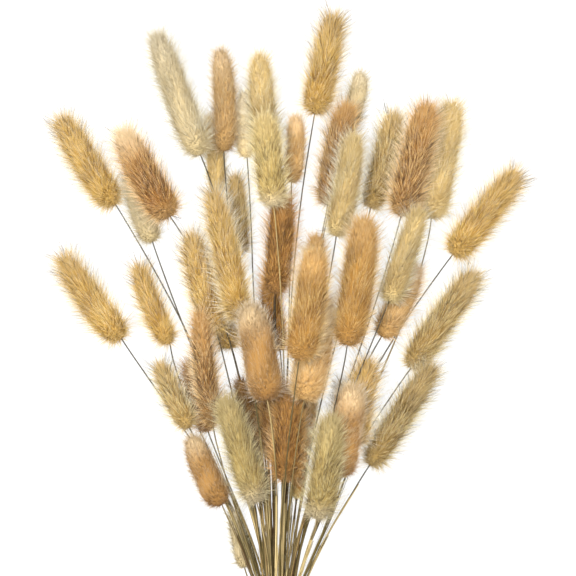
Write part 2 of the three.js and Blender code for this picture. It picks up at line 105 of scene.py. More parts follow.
def read_tail(node):
    """The stem's centre line, and the head's base, chord, bow and visible radius."""
    corners = own_corners(node)
    order = np.argsort(corners[:, 1])
    breaks = np.flatnonzero(np.diff(corners[order, 1]) > SAME_RING) + 1
    rings = [ring for ring in np.split(order, breaks) if len(ring) == STEM_CORNERS]
    line = np.array([corners[ring].mean(axis=0) for ring in rings])
    head = corners[np.setdiff1d(np.arange(len(corners)), np.concatenate(rings))]
    base = line[-1]
    tip = head[np.argmax(np.linalg.norm(head - base, axis=1))]
    chord = tip - base
    across = unit(np.array([chord[1], -chord[0], 0.0]))
    height = (head - base) @ chord / (chord @ chord)
    arch = 4 * height * (1 - height)
    off = head - base - np.outer(height, chord)
    bow = (off @ across).sum() / arch.sum()
    reach = np.linalg.norm(off - np.outer(arch * bow, across), axis=1)
    middle = (height > 0.2) & (height < 0.8)
    radius = (reach[middle] / fullness(height[middle])).max() / FRAME_REACH
    return {
        "line": line, "base": base, "chord": chord, "length": np.linalg.norm(chord),
        "across": across, "bow": bow, "radius": radius,
    }


sample = read_tail("bunny_tail_01")
size = np.array([sample["length"], 2 * sample["radius"]]) / MM
print("the first head is", size[0].round(1), "mm long and", size[1].round(1), "mm across")

# %% [markdown]
# A head bends a little, so hair needs a frame that follows the bend: the direction towards the tip, and
# two directions across it. Every place on a head is then a height from 0 to 1 and an angle round the axis.

# %% Places and directions on a head


def head_axis(tail, height):
    """Points on the bent centre line at these heights, and the directions along and across it."""
    height = np.atleast_1d(height)
    arch = 4 * height * (1 - height)
    points = tail["base"] + np.outer(height, tail["chord"]) + np.outer(arch * tail["bow"], tail["across"])
    along = unit(tail["chord"] + np.outer(4 * (1 - 2 * height) * tail["bow"], tail["across"]))
    right = unit(tail["across"] - (along @ tail["across"])[:, None] * along)
    return points, along, right, np.cross(right, along)


def swung(first, second, angle):
    """Each first direction, swung by its angle towards the second."""
    return first * np.cos(angle)[:, None] + second * np.sin(angle)[:, None]


def patches(height, angle, draw, waves=6, climbs=(4, 22), most_turns=4):
    """A soft random pattern on the head, about -1 to 1, for lumps and for lighter and darker places."""
    total = np.zeros(np.broadcast(height, angle).shape)
    for _ in range(waves):
        climb, turns = draw.uniform(*climbs), draw.integers(0, most_turns)
        total += np.sin(climb * height + turns * angle + draw.uniform(0, math.tau))
    return total / math.sqrt(waves)


print("half way up, that head points along", head_axis(sample, 0.5)[1][0].round(2))

# %% [markdown]
# Everything on a tail ends up in one mesh of triangles, so each maker below returns the same bundle of
# arrays: places, faces, a paint map, a finish for each face, and what the shader needs at each corner.
# Height is how far up the head a hair grows, along is how far a corner is from root to tip, tone is how
# light that strand is, and grain is where on a stem or a yarn its streaks are read.
# The paint map is laid out by those same numbers: hairs of like tone and height share a place on it, so
# a small image can hold the colours of thousands of hairs, and the stem has a strip of its own.

# %% Bundles of arrays, and how they join
TONE_BANDS = 9
AWN_TONE = 1.5
ONLY_AWNS = 1.2  # no other strand has a tone above this
FUR_SIDE = 0.80  # fur has the map up to here, and stems the rest
STEM_AREA = (0.84, 0.01, 0.99, 0.99)


def paint_across(height, tone):
    """Where a hair lies across the paint map. Awns have the last band to themselves."""
    band = np.clip(tone, 0, 0.999) * (TONE_BANDS - 1)
    band = np.where(tone > ONLY_AWNS, TONE_BANDS - 1, band).astype(int)
    return 0.01 + (FUR_SIDE - 0.02) * (band + 0.04 + 0.92 * np.clip(height, 0, 1)) / TONE_BANDS


def bundle(places, faces, maps, height, along, tone, grain, finish):
    return {
        "places": places, "faces": faces, "maps": maps, "height": height, "along": along,
        "tone": tone, "grain": grain, "finish": np.full(len(faces), finish),
    }


def join(bundles):
    """One bundle out of several. Faces count their corners from where their own places begin."""
    starts = np.cumsum([0] + [len(b["places"]) for b in bundles[:-1]])
    joined = {key: np.concatenate([b[key] for b in bundles]) for key in bundles[0] if key != "faces"}
    joined["faces"] = np.concatenate([b["faces"] + start for b, start in zip(bundles, starts)])
    return joined


print("the paint map has", TONE_BANDS, "bands")

# %% Rings of corners round a line


def round_angles(sides):
    return math.tau * np.arange(sides) / sides


def spokes(right, up, angle):
    """Directions square to each point's own axis, one for each angle round it."""
    return right[:, None] * np.cos(angle)[..., None] + up[:, None] * np.sin(angle)[..., None]


def halved(a, b, c, d):
    """Four-cornered faces, given by their corners in order, cut into triangles."""
    return np.concatenate([np.stack([a, b, c], 1), np.stack([a, c, d], 1)])


def ringed(centres, rights, ups, radii, area, finish, height, along, tone, grain):
    """A closed tube through these rings. radii is one row of corner radii for each ring, and area its
    place on the paint map: left, low, right and high."""
    rings, sides = radii.shape
    places = centres[:, None] + spokes(rights, ups, round_angles(sides)) * radii[..., None]
    k, j = (grid.ravel() for grid in np.meshgrid(np.arange(rings - 1), np.arange(sides), indexing="ij"))
    n = (j + 1) % sides
    faces = [halved(k * sides + j, k * sides + n, (k + 1) * sides + n, (k + 1) * sides + j)]
    left, right, low, high = j / sides, (j + 1) / sides, k / (rings - 1), (k + 1) / (rings - 1)
    corners = ((left, low), (right, low), (right, high), (left, high))
    maps = [halved(*[np.stack(corner, 1) for corner in corners])]
    for end, ring in enumerate((0, rings - 1)):
        first = ring * sides + np.arange(sides)
        fan = (first, np.roll(first, -1)) if end else (np.roll(first, -1), first)
        faces.append(np.stack([*fan, np.full(sides, rings * sides + end)], 1))
        maps.append(np.broadcast_to([[0.3, end], [0.7, end], [0.5, end]], (sides, 3, 2)))
    places = np.concatenate([places.reshape(-1, 3), centres[[0, -1]]])
    low, high = np.array(area).reshape(2, 2)
    maps = low + np.concatenate(maps) * (high - low)
    values = [np.broadcast_to(value, rings) for value in (height, along, tone)]
    spread = [np.concatenate([np.repeat(value, sides), value[[0, -1]]]) for value in values]
    grain = np.broadcast_to(grain, (rings, sides, 3))
    grain = np.concatenate([grain.reshape(-1, 3), grain[[0, -1]].mean(axis=1)])
    return bundle(places, np.concatenate(faces), maps, *spread, grain, finish)


# %% Lines and their stations


def smooth_line(points, count):
    """A smooth line through the points, sampled evenly, which keeps to them at each station."""
    padded = np.vstack([2 * points[0] - points[1], points, 2 * points[-1] - points[-2]])
    travel = np.linspace(0, len(points) - 1, count)
    k = np.minimum(travel.astype(int), len(points) - 2)
    f = (travel - k)[:, None]
    p, q, r, s = padded[k], padded[k + 1], padded[k + 2], padded[k + 3]
    return 0.5 * (2 * q + (r - p) * f + (2 * p - 5 * q + 4 * r - s) * f**2 + (3 * q - p - 3 * r + s) * f**3)


def distances(line):
    """How far along the line each of its points lies."""
    return np.concatenate([[0], np.cumsum(np.linalg.norm(np.diff(line, axis=0), axis=1))])


def points_at(line, steps):
    """Points at these distances along the line."""
    far = distances(line)
    return np.stack([np.interp(steps, far, line[:, axis]) for axis in range(3)], axis=1)


def line_axes(line):
    """Forward, right and up at each point of a line that runs roughly level."""
    forward = unit(np.gradient(line, axis=0))
    right = unit(np.cross(forward, [0, 0, 1.0]))
    return forward, right, np.cross(right, forward)


def fibre_grain(travelled, sides, twist, across, along):
    """Where on a round stem or yarn its streaks are read: round it by angle, and slowly along it."""
    angle = round_angles(sides) + twist[:, None]
    lengthwise = np.broadcast_to((travelled * along)[:, None], angle.shape)
    return np.stack([np.cos(angle) * across, np.sin(angle) * across, lengthwise], axis=2)


print("the first stem is", round(distances(sample["line"])[-1] / MM), "mm long")

# %% [markdown]
# The stem is a thin dry culm. It could be a curve with a bevel, but the tail has to be one closed mesh,
# so rings are placed along a smooth line through the frame's own stations. A culm is thicker at the cut
# end, hardly thicker than a bristle under the head, and has a swollen joint low down. Its lower half is
# wrapped in a leaf sheath, and at the cut end it is hollow.

# %% Make a stem
STEM_SIDES = 7
STEM_RINGS = 34
SHEATH_GIRTH = 0.6 * MM
BARE_GIRTH = 0.42 * MM
STEM_AT_HEAD = 0.34 * MM
STEM_INTO_HEAD = 4 * MM
STEM_UNEVEN = (0.94, 1.06)
HOLLOW_DEPTH = 0.9 * MM
WANDER = 0.12 * MM
WANDER_WAVES = (9, 16)
SHEATH_ENDS = (0.34, 0.62)  # this and the joint's places are shares of the stem's length
JOINT_PLACES = (0.16, 0.26)
JOINT_WIDTH = 0.016
JOINT_SWELL = 0.25
NOISE_SPAN = 40  # each stem reads its streaks from its own place in the noise
FUR_FINISH, STEM_FINISH, STRIP_FINISH = 0, 1, 2


def make_stem(tail, draw):
    inside = tail["base"] + unit(tail["chord"]) * STEM_INTO_HEAD
    line = smooth_line(np.vstack([tail["line"], inside]), STEM_RINGS)
    along = np.linspace(0, 1, STEM_RINGS)
    wander = np.sin(along[:, None] * draw.uniform(*WANDER_WAVES, 3) + draw.uniform(0, 6, 3)) * WANDER
    line = line + wander * ease(along, 0, 0.1)[:, None] * (1 - ease(along, 0.9, 1))[:, None]
    sheath_end = draw.uniform(*SHEATH_ENDS)
    bare = ease(along, sheath_end - 0.02, sheath_end + 0.05)
    narrowing = BARE_GIRTH + (STEM_AT_HEAD - BARE_GIRTH) * ease(along, sheath_end, 1.0)
    joint = np.exp(-(((along - draw.uniform(*JOINT_PLACES)) / JOINT_WIDTH) ** 2))
    radius = (SHEATH_GIRTH + (narrowing - SHEATH_GIRTH) * bare) * (1 + JOINT_SWELL * joint)
    keep_above(line, radius)
    forward, right, up = line_axes(line)
    radii = radius[:, None] * draw.uniform(*STEM_UNEVEN, (STEM_RINGS, STEM_SIDES))
    grain = fibre_grain(distances(line) / MM, STEM_SIDES, np.zeros(STEM_RINGS), 1.4, 0.05)
    made = ringed(
        line, right, up, radii, STEM_AREA, STEM_FINISH,
        bare, joint, 0.0, grain + draw.uniform(0, NOISE_SPAN, 3),
    )
    cut_centre = len(made["places"]) - 2
    made["places"][cut_centre] = line[0] + forward[0] * HOLLOW_DEPTH
    made["along"][cut_centre] = 1.0
    return made


print("a stem has", len(make_stem(sample, np.random.default_rng(1))["faces"]), "triangles")

# %% [markdown]
# Each culm carries a leaf sheath that dried, split and came a little loose. These strips fill the lower
# bunch with thin pale and dark lines, the dark ones partly painted shade for the shadow deep between the
# stems. A strip is a flattened tube, so that it has two faces and an edge.

# %% Make the loose strips of a sheath
STRIPS_PER_STEM = 8
STRIP_RINGS = 8
STRIP_WIDTH = 0.34 * MM
STRIP_THICKNESS = 0.07 * MM
STRIP_LIFT = 1.4 * MM
STRIP_CURL = 0.8
STRIP_BEGINS = (45 * MM, 130 * MM)
STRIP_LENGTH = (30 * MM, 70 * MM)
BARE_UNDER_HEAD = 12 * MM


def make_strip(tail, draw):
    line = smooth_line(tail["line"], STEM_RINGS)
    begin = draw.uniform(*STRIP_BEGINS)
    end = min(begin + draw.uniform(*STRIP_LENGTH), distances(line)[-1] - BARE_UNDER_HEAD)
    begin = min(begin, end - STRIP_LENGTH[0])
    line = points_at(line, np.linspace(begin, end, STRIP_RINGS))
    forward, right, up = line_axes(line)
    loose = ease(np.linspace(0, 1, STRIP_RINGS), 0.0, 1.0)
    angle = draw.uniform(0, math.pi) + draw.uniform(-STRIP_CURL, STRIP_CURL) * loose
    out = swung(right, up, angle)
    line = line + out * (BARE_GIRTH + STRIP_LIFT * draw.uniform(0.2, 1.0) * loose)[:, None]
    keep_above(line, STRIP_WIDTH)
    slim = np.sqrt(np.sin(math.pi * (np.arange(STRIP_RINGS) + 0.6) / (STRIP_RINGS + 0.2)))
    across = np.cross(forward, out)
    width = STRIP_WIDTH * draw.uniform(0.6, 1.2) * slim
    radii = np.stack([width, slim * STRIP_THICKNESS, width, slim * STRIP_THICKNESS], axis=1)
    grain = np.zeros((STRIP_RINGS, 4, 3))
    grain[..., 0] = [-0.6, 0.0, 0.6, 0.0]
    grain[..., 2] = np.linspace(0, 1, STRIP_RINGS)[:, None]
    return ringed(
        line, across, out, radii, STEM_AREA, STRIP_FINISH,
        draw.uniform(0, 1), 0.0, 0.0, grain + draw.uniform(0, NOISE_SPAN, 3),
    )


print("a strip has", len(make_strip(sample, np.random.default_rng(1))["faces"]), "triangles")

# %% [markdown]
# Under the fur a head is a tight spike of small husks. Little of it shows, but it stops light from
# passing between the hairs, so a lumpy closed core stands in for the husks. Hairs are rooted on it, so
# its girth is a function that the hairs ask too.

# %% Make the core of a head
CORE_RINGS = 18
CORE_SIDES = 14
CORE_TONE = 0.34
CORE_LUMPS = 0.05
CORE_LEAST = 0.3 * MM
FUR_BLUNTNESS = 4.5  # fur is blunter than the frame's head
FULL_RADIUS = 8.5 * MM  # heads narrower than this have shorter hair
BEYOND_CORE = 0.4  # how much of a hair's length stands past the core's end
CLOSE_HAIR = 0.12  # how much of it thickens the head all round


def hair_length(tail, fur):
    return fur["length"] * MM * min(1.0, tail["radius"] / FULL_RADIUS)


def core_end(tail, fur):
    """The height at which the core stops, so that the hairs of the tip end where the head does."""
    return 1 - BEYOND_CORE * hair_length(tail, fur) / tail["length"]


def core_radius(tail, fur, height):
    """The core's girth: the solid-looking part of the head less what the close hair adds."""
    widest = fur["solid"] * tail["radius"] - CLOSE_HAIR * hair_length(tail, fur)
    taper = 1 + fur["taper"] * (0.4 - height)
    rounded = 0.88 + 0.12 * ease(height, 0.0, 0.12)
    return widest * taper * rounded * fullness(height / core_end(tail, fur), FUR_BLUNTNESS)


def make_core(tail, fur, draw):
    share = 0.5 - 0.5 * np.cos(math.pi * (np.arange(CORE_RINGS) + 0.35) / (CORE_RINGS - 0.3))
    height = core_end(tail, fur) * share
    points, _, right, up = head_axis(tail, height)
    lumps = patches(height[:, None], round_angles(CORE_SIDES), draw)
    radii = np.maximum(core_radius(tail, fur, height)[:, None] * (1 + CORE_LUMPS * lumps), CORE_LEAST)
    start, end = paint_across(np.array([0.0, 1.0]), CORE_TONE)
    made = ringed(
        points, right, up, radii, (start, 0.005, end, 0.05), FUR_FINISH, height, 0.0, CORE_TONE, 0.0,
    )
    made["maps"][..., 0] = start + (end - start) * made["height"][made["faces"]]
    keep_above(made["places"], SURFACE_GAP)
    return made


print("a core has", 2 * CORE_RINGS * CORE_SIDES, "triangles")

# %% [markdown]
# The fur is what makes this grass. Hair particles or hair curves would be the usual tools, but they
# do not survive outside Blender, so each hair is a real closed needle: three corners at the root and
# one at the tip. Hairs are set round the head on a golden angle, as seeds are on the real spike. Most
# lie close, some are longer, and strays and wisps stand off the rest. Those few make the soft halo.

# %% Where hairs grow and how they lie
GOLDEN_ANGLE = math.pi * (3 - math.sqrt(5))
CROWDED_UPWARD = 0.3  # more hairs on the side that is seen
LEAN, MORE_AT_BASE, LESS_AT_TIP = 37, 61, 12  # degrees off the axis


def hair_places(tail, fur, count):
    """Heights and angles of the hairs, closest together at both ends of the head."""
    grid = np.linspace(0.004, 1, 400)
    crowding = 1 + 1.1 * np.exp(-((grid / 0.09) ** 2)) + 0.9 * np.exp(-(((1 - grid) / 0.07) ** 2))
    girth = fullness(grid, FUR_BLUNTNESS) * tail["radius"] * crowding + 0.8 * MM
    filled = np.cumsum(girth)
    share = (np.arange(count) + 0.5) / count
    height = np.interp(share, filled / filled[-1], grid) * core_end(tail, fur)
    angle = np.arange(count) * GOLDEN_ANGLE
    return height, angle + CROWDED_UPWARD * np.cos(angle)


def rooted(tail, fur, height, angle, depth):
    """Places on the core, and the directions up the head, outward and sideways from there."""
    points, axis, right, up = head_axis(tail, height)
    out = swung(right, up, angle)
    return points + out * (core_radius(tail, fur, height) * depth)[:, None], axis, out, np.cross(axis, out)


def lean(height):
    """How far a hair stands off the axis, in radians: nearly square at the base, close at the tip."""
    at_base, at_tip = 1 - ease(height, 0.0, 0.2), ease(height, 0.84, 1.0)
    return np.radians(LEAN + MORE_AT_BASE * at_base - LESS_AT_TIP * at_tip)


def facing_up(angle, end=0.75):
    """0 on the flanks and below, 1 on the side that faces up."""
    return ease(np.sin(angle), 0.0, end)


def looseness(angle):
    """Long hairs lie flat and matted on the side that faces up and stand free on the flanks."""
    return 1.5 - 1.2 * facing_up(angle)


def pressed(height, angle):
    """The hairs on the side that faces up are pressed closer to the head than the others."""
    return 1 - 0.45 * facing_up(angle) * ease(height, 0.08, 0.3)


print("hairs lean", np.degrees(lean(np.array([0, 0.5, 1]))).round(), "degrees, from base to tip")

# %% [markdown]
# Four kinds of hair make the fur: short underfur, guard hairs, strays and wisps. The light and dark
# strands that the eye sees come from three things on top of each other: single strands differ, tufts
# differ, and broad patches differ. The side that faces up keeps its colour. On the others many hairs,
# and all strays and wisps, are painted nearly white, partly as pale hair and partly as painted rim
# light, where thin hair glows against the light.

# %% How light each hair is
KINDS_OF_HAIR = {  # share of all hairs, degrees off the rest, length, root radius in mm, odds of paling, partly painted rim light
    "under": (0.38, 5, 0.58, 0.115, 0.1),
    "guard": (0.25, 3, 0.95, 0.085, 0.6),
    "stray": (0.19, 10, 1.3, 0.085, 1.0),
    "wisp": (0.18, 20, 1.75, 0.105, 1.0),
}
GUARD, STRAY = 1, 2
DARKEST_TO_LIGHTEST = (0.0, 0.86)
# the tone of hairs painted pale, partly pale hair and partly painted rim light
PALE_AND_RIM_LIT_TONE = 0.99
BY_STRAND, BY_TUFT, BY_PATCH = 0.22, 0.3, 0.12
TUFTS = {"waves": 14, "climbs": (70, 220), "most_turns": 26}


def hair_tones(fur, height, angle, sort, pale_and_rim_lit_odds, draw):
    """Tones from dark at 0 to light at 1. Hairs differ less at the foot and at the crown."""
    calm = 1 - 0.8 * math.sqrt(fur["crown"]) * ease(height, 0.5, 0.85) - 0.5 * (1 - ease(height, 0.0, 0.15))
    tufts = patches(height, angle, draw, **TUFTS)
    varied = fur["strands"] * (BY_STRAND * draw.normal(0, 1, len(height)) + BY_TUFT * tufts)
    varied += BY_PATCH * patches(height, angle, draw)
    tone = 0.5 + calm * varied
    tone = np.where(sort == GUARD, 0.25 + 0.55 * tone, tone)
    tone = np.clip(np.where(sort == STRAY, 0.5 + 0.4 * tone, tone), *DARKEST_TO_LIGHTEST)
    # hairs off the upward side are painted pale: partly pale hair, partly painted rim light on the flanks
    pale_and_rim_lit = draw.uniform(0, 1, len(height)) < pale_and_rim_lit_odds[sort] * (1 - facing_up(angle, 0.6))
    return np.where(pale_and_rim_lit, PALE_AND_RIM_LIT_TONE, tone)


print("kinds of hair:", list(KINDS_OF_HAIR))

# %% Comb the hairs of a head
PLACE_JITTER = 0.8 * MM
ANGLE_JITTER = 0.12
ROOT_DEPTH = 0.96  # roots sit a little inside the core
COMMON_SIZE, SIZE_SPREAD = -0.08, 0.26  # of a bell curve of logarithms
SIZE_LIMIT = 1.6
LONGEST = 2.0


def comb(tail, fur, count, draw):
    """Roots, tips, heights, tones, reaches and root radii of all hairs of one head."""
    top = core_end(tail, fur)
    height, angle = hair_places(tail, fur, count)
    height = height + draw.normal(0, PLACE_JITTER, count) / tail["length"]
    height = np.clip(height, 0.002, top)
    angle = angle + draw.normal(0, ANGLE_JITTER, count)
    shares, lifts, sizes, radii, pale_and_rim_lit_odds = (np.array(column) for column in zip(*KINDS_OF_HAIR.values()))
    long_ones = fur["loose"] * looseness(angle)[:, None]
    odds = shares * np.where(np.arange(len(shares)) < STRAY, 1.0, long_ones)
    odds = np.cumsum(odds / odds.sum(axis=1, keepdims=True), axis=1)[:, :-1]
    sort = (draw.uniform(0, 1, (count, 1)) > odds).sum(axis=1)
    untidy = math.radians(fur["ruffle"] * 1.4) * (1 + 1.2 * (1 - ease(height, 0.0, 0.12)))
    slant = pressed(height, angle) * (lean(height / top) + np.radians(lifts[sort]))
    slant = slant + untidy * draw.normal(0, 1, count)
    swirl = 0.25 * patches(height, angle, draw) + untidy * draw.normal(0, 1.5, count)
    root, axis, out, side = rooted(tail, fur, height, angle, ROOT_DEPTH)
    way = swung(axis, swung(out, side, swirl), slant)
    size = sizes[sort] * np.minimum(np.exp(draw.normal(COMMON_SIZE, SIZE_SPREAD, count)), SIZE_LIMIT)
    size = size * (1 - 0.3 * (1 - ease(height, 0.0, 0.14)) + 0.25 * ease(height, 0.75, 1.0))
    size = np.minimum(size, LONGEST)
    tip = root + way * (hair_length(tail, fur) * size)[:, None]
    keep_above(tip, SURFACE_GAP)
    tone = hair_tones(fur, height, angle, sort, pale_and_rim_lit_odds, draw)
    thick = radii[sort] * MM * draw.uniform(0.8, 1.2, count)
    return root, tip, height, tone, np.minimum(size, 1.0), thick


# %% [markdown]
# A needle is one ring of three corners and a tip. The few long awns have a second ring, so that each
# can bend once. One function lays out the triangles of both.

# %% Closed hairs
NEEDLE_FLOOR = 0.05 * MM
MAP_STEP = 0.002


def across_of(way):
    """Two directions square to each hair."""
    helper = np.where(np.abs(way[:, 2:3]) < 0.8, [[0.0, 0.0, 1.0]], [[1.0, 0.0, 0.0]])
    side = unit(np.cross(way, helper))
    return side, np.cross(way, side)


def hair_ring(place, way, radius, turn):
    ring = spokes(*across_of(way), turn[:, None] + round_angles(3))
    return place[:, None] + ring * np.broadcast_to(radius, len(place))[:, None, None]


def hair_faces(rings):
    """The triangles of one closed hair: rings of three corners, then its tip."""
    faces = [[0, 2, 1]]
    for ring in range(rings):
        for side in range(3):
            a, b = 3 * ring + side, 3 * ring + (side + 1) % 3
            last = ring == rings - 1
            faces += [[a, b, 3 * rings]] if last else [[a, b, b + 3], [a, b + 3, a + 3]]
    return np.array(faces)


def hair_bundle(rings, tip, height, along, tone):
    """Closed hairs from their rings and tips. along is one number for each corner of each hair."""
    places = np.concatenate([*rings, tip[:, None]], axis=1)
    keep_above(places, NEEDLE_FLOOR)
    count, corners = along.shape
    faces = (corners * np.arange(count)[:, None, None] + hair_faces(len(rings))).reshape(-1, 3)
    steps = MAP_STEP * np.array([0, 1, 2] * len(rings) + [1])
    spots = np.stack([paint_across(height, tone)[:, None] + steps, 0.08 + 0.91 * along], axis=2)
    spots = spots.reshape(-1, 2)
    return bundle(
        places.reshape(-1, 3), faces, spots[faces], np.repeat(height, corners), along.ravel(),
        np.repeat(tone, corners), np.zeros((corners * count, 3)), FUR_FINISH,
    )


print("a needle has", len(hair_faces(1)), "triangles and an awn", len(hair_faces(2)))

# %% Needles and awns
AWN_RADIUS = 0.1 * MM
AWN_BENDS_AT = 0.55


def make_needles(root, tip, height, tone, reach, thick, draw):
    ring = hair_ring(root, unit(tip - root), thick, draw.uniform(0, math.tau, len(root)))
    return hair_bundle([ring], tip, height, reach[:, None] * np.array([0.0, 0.0, 0.0, 1.0]), tone)


def make_awns(tail, fur, draw):
    """A few long bristles that stand past the fur, each with one soft bend."""
    count = fur["awns"]
    height = draw.uniform(0.01, 1.0, count) ** fur["splay"] * core_end(tail, fur)
    angle = draw.uniform(0, math.tau, count)
    root, axis, out, side = rooted(tail, fur, height, angle, 1.0)
    slant = lean(height) * draw.uniform(0.8, 1.45, count)
    swirl = draw.normal(0, 0.25, count)
    first = swung(axis, swung(out, side, swirl), slant)
    second = swung(axis, swung(out, side, swirl * 2), slant * draw.uniform(0.5, 1.5, count))
    long = hair_length(tail, fur) * draw.uniform(1.2, 1.8, count) * (1 + 0.25 * ease(height, 0.7, 1.0))
    bend = root + first * (long * AWN_BENDS_AT)[:, None]
    tip = bend + second * (long * (1 - AWN_BENDS_AT))[:, None]
    for places in (bend, tip):
        keep_above(places, SURFACE_GAP)
    turn = draw.uniform(0, math.tau, count)
    rings = [hair_ring(root, first, AWN_RADIUS, turn), hair_ring(bend, first, AWN_RADIUS * 0.8, turn)]
    along = np.tile(np.repeat([0.0, AWN_BENDS_AT, 1.0], (3, 3, 1)), (count, 1))
    return hair_bundle(rings, tip, height, along, np.full(count, AWN_TONE))


# %% [markdown]
# The colours of fur change in three ways at once: from strand to strand, from the foot of the head to
# its crown, and along each hair, which is darker at its root, in part painted shade deep in the coat, and
# paler at its tip, in part bleached and in part painted light through the thin hair. All tails need
# that, so it is one node group with named inputs, and each tail's material gives it its own colours.

# %% Helpers for node trees


def new_group(name, inputs, outputs):
    """An empty shader node group. Its named sockets are given as a dictionary of name and kind."""
    group = bpy.data.node_groups.new(name, "ShaderNodeTree")
    for direction, sockets in (("INPUT", inputs), ("OUTPUT", outputs)):
        for label, kind in sockets.items():
            group.interface.new_socket(label, in_out=direction, socket_type="NodeSocket" + kind)
    return group, group.nodes.new("NodeGroupInput").outputs, group.nodes.new("NodeGroupOutput").inputs


def add(tree, kind, sources, **settings):
    """A new node with these settings. sources holds, for each socket, what it is linked to or set to."""
    node = tree.nodes.new("ShaderNode" + kind)
    for name, value in settings.items():
        setattr(node, name, value)
    for key, source in sources.items():
        if isinstance(source, bpy.types.NodeSocket):
            tree.links.new(source, node.inputs[key])
        else:
            node.inputs[key].default_value = source
    return node


def blend(tree, share, first, second, kind="MIX"):
    """A mix of colours, which are sockets 6 and 7: first where share is 0, second where it is 1."""
    return add(tree, "Mix", {0: share, 6: first, 7: second}, data_type="RGBA", blend_type=kind).outputs[2]


def remap(tree, value, low, high, to_low=0.0, to_high=1.0, kind="SMOOTHSTEP"):
    sources = dict(enumerate((value, low, high, to_low, to_high)))
    return add(tree, "MapRange", sources, interpolation_type=kind).outputs[0]


def put_out(tree, sockets, *sources):
    """Links what a group has made to its output sockets, in order."""
    for socket, source in zip(sockets, sources):
        tree.links.new(source, socket)


def calculate(tree, kind, *values):
    return add(tree, "Math", dict(enumerate(values)), operation=kind).outputs[0]


def noise(tree, vector, scale, detail=2.0):
    return add(tree, "TexNoise", {"Vector": vector, "Scale": scale, "Detail": detail}).outputs["Fac"]


# %% The fur group
FUR_COLOURS = ("Dark", "Body", "Light", "Foot", "Crown", "Tip", "Awn")
FUR_SHARES = ("Along", "Height", "Tone", "Root Shade", "Bleach And Glow", "Crown Share")


def make_fur_group():
    inputs = dict.fromkeys(FUR_SHARES, "Float") | dict.fromkeys(FUR_COLOURS, "Color")
    group, g, out = new_group("dried_fur", inputs, {"Colour": "Color", "Roughness": "Float"})
    spot = add(group, "CombineXYZ", {"X": g["Tone"], "Y": g["Height"], "Z": g["Along"]})
    # strands are dark, middling or light, and a noise moves that a little
    fleck = noise(group, spot.outputs[0], 5.0)
    tone = calculate(group, "MULTIPLY_ADD", fleck, 0.24, calculate(group, "SUBTRACT", g["Tone"], 0.12))
    colour = blend(group, remap(group, tone, 0.5, 0.08), g["Body"], g["Dark"])
    colour = blend(group, remap(group, tone, 0.5, 0.95), colour, g["Light"])
    # the foot and the crown of the head have colours of their own; on some kinds the darker foot is also
    # painted shade where other heads hide it, and the paler crown painted light
    colour = blend(group, remap(group, g["Height"], 0.2, 0.0, 0.0, 0.6), colour, g["Foot"])
    crowned = remap(group, g["Height"], 0.55, 0.95, 0.0, g["Crown Share"])
    colour = blend(group, crowned, colour, g["Crown"])
    # a hair is darker at its root, partly its own colour and partly painted shade deep in the coat, though
    # less so at the crown
    deepest = remap(group, g["Height"], 0.6, 0.92, g["Root Shade"], 0.94)
    colour = blend(group, 1.0, colour, remap(group, g["Along"], 0.0, 0.45, deepest, 1.0), "MULTIPLY")
    # it is paler at its tip, partly bleached and partly painted light through the thin hair, and a wisp on
    # the flanks is pale for most of its length, partly pale hair and partly painted rim light
    bleach_and_glow = remap(group, g["Along"], 0.35, 1.0, 0.0, g["Bleach And Glow"])
    wisp = remap(group, g["Tone"], 0.88, 0.96, kind="LINEAR")
    pale = calculate(group, "MULTIPLY", wisp, remap(group, g["Along"], 0.1, 0.65, 0.0, 0.88))
    colour = blend(group, calculate(group, "MAXIMUM", bleach_and_glow, pale), colour, g["Tip"])
    awned = calculate(group, "GREATER_THAN", g["Tone"], ONLY_AWNS)
    roughness = remap(group, g["Along"], 0.0, 1.0, 0.92, 0.6, "LINEAR")
    put_out(group, out, blend(group, awned, colour, g["Awn"]), roughness)
    return group


fur_group = make_fur_group()
print(fur_group.name, "has", len(fur_group.nodes), "nodes")

# %% [markdown]
# A dry culm is straw that has gone grey and brown in streaks, and it is smooth enough to shine a little.
# Streaks run along the stem, so the noise is stretched that way. The swollen joint is darker.

# %% The straw group
STRAW_COLOURS = ("Lower", "Upper", "Streak")
RELIEF_OUTPUTS = {"Colour": "Color", "Roughness": "Float", "Relief": "Float"}


def make_straw_group():
    inputs = {"Length": "Float", "Joint": "Float", "Grain": "Vector"}
    inputs |= dict.fromkeys(STRAW_COLOURS, "Color")
    group, g, out = new_group("dried_straw", inputs, RELIEF_OUTPUTS)
    streak = noise(group, g["Grain"], 1.6, 3.0)
    blotch = noise(group, g["Grain"], 0.35, 1.0)
    reach = calculate(group, "MULTIPLY_ADD", blotch, 0.4, calculate(group, "SUBTRACT", g["Length"], 0.2))
    colour = blend(group, remap(group, reach, 0.2, 0.8), g["Lower"], g["Upper"])
    colour = blend(group, remap(group, streak, 0.42, 0.68, 0.0, 0.75), colour, g["Streak"])
    colour = blend(group, calculate(group, "MULTIPLY", g["Joint"], 0.7), colour, g["Streak"])
    put_out(group, out, colour, remap(group, streak, 0.3, 0.7, 0.42, 0.75), streak)
    return group


straw_group = make_straw_group()
print(straw_group.name, "has", len(straw_group.nodes), "nodes")
